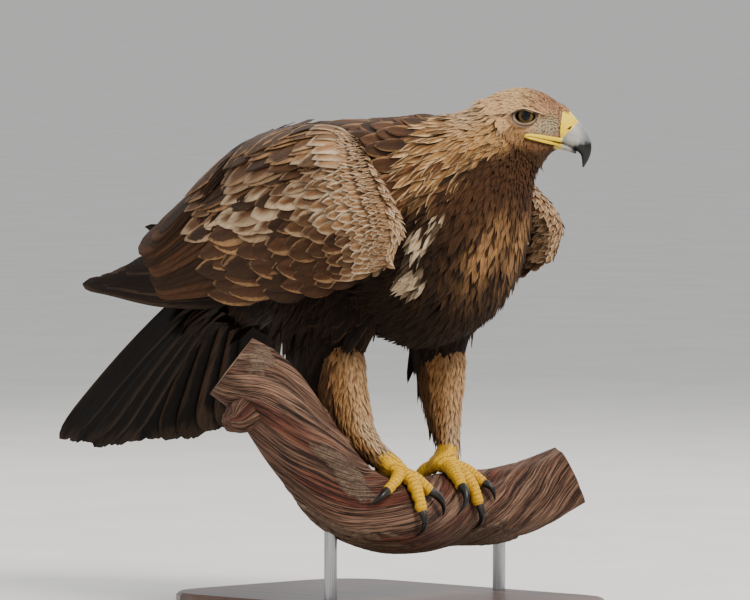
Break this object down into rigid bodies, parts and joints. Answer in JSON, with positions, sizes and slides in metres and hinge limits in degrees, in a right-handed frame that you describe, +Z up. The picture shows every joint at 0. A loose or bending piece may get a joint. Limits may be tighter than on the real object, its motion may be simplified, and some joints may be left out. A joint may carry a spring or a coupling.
{
  "type": "golden eagle model",
  "caption": "Life-size standing golden eagle leaning forward with its head turned, gripping a cut length of branch on a display stand.",
  "frame": {"origin": "centre of the underside of the stand's base", "axes": "+Z up, +X forward along the bird's body, +Y towards the bird's left side"},
  "size_m": [0.6051, 0.4117, 0.5286],
  "materials": {
    "dark_plumage": "soft dark brown feathers",
    "wing_plumage": "brown feathers with paler edges",
    "golden_plumage": "golden-brown pointed feathers",
    "leg_plumage": "tan short feathers",
    "flight_feathers": "blackish feathers with a slight sheen",
    "yellow_skin": "scaly yellow skin",
    "bill_horn": "smooth horn, blue-grey to black at the tip",
    "claw_horn": "smooth black horn",
    "eye": "wet and clear, amber brown",
    "weathered_wood": "weathered grain with patches of cracked bark",
    "stand_wood": "satin dark wood",
    "rod_steel": "brushed"
  },
  "bodies": {
    "root": {"bill_lower": "bill_horn", "bill_upper": "bill_horn", "cere": "yellow_skin", "claw_left_hind": "claw_horn", "claw_left_inner": "claw_horn", "claw_left_middle": "claw_horn", "claw_left_outer": "claw_horn", "claw_right_hind": "claw_horn", "claw_right_inner": "claw_horn", "claw_right_middle": "claw_horn", "claw_right_outer": "claw_horn", "eye_left": "eye", "eye_right": "eye", "foot_left": "yellow_skin", "foot_right": "yellow_skin", "head": "golden_plumage", "neck": "golden_plumage", "perch_branch": "weathered_wood", "shank_left": "leg_plumage", "shank_right": "leg_plumage", "stand_base": "stand_wood", "stand_rod_back": "rod_steel", "stand_rod_front": "rod_steel", "tail": "flight_feathers", "thigh_left": "dark_plumage", "thigh_right": "dark_plumage", "torso": "dark_plumage", "wing_left": "wing_plumage", "wing_right": "wing_plumage"}
  },
  "joints": []
}
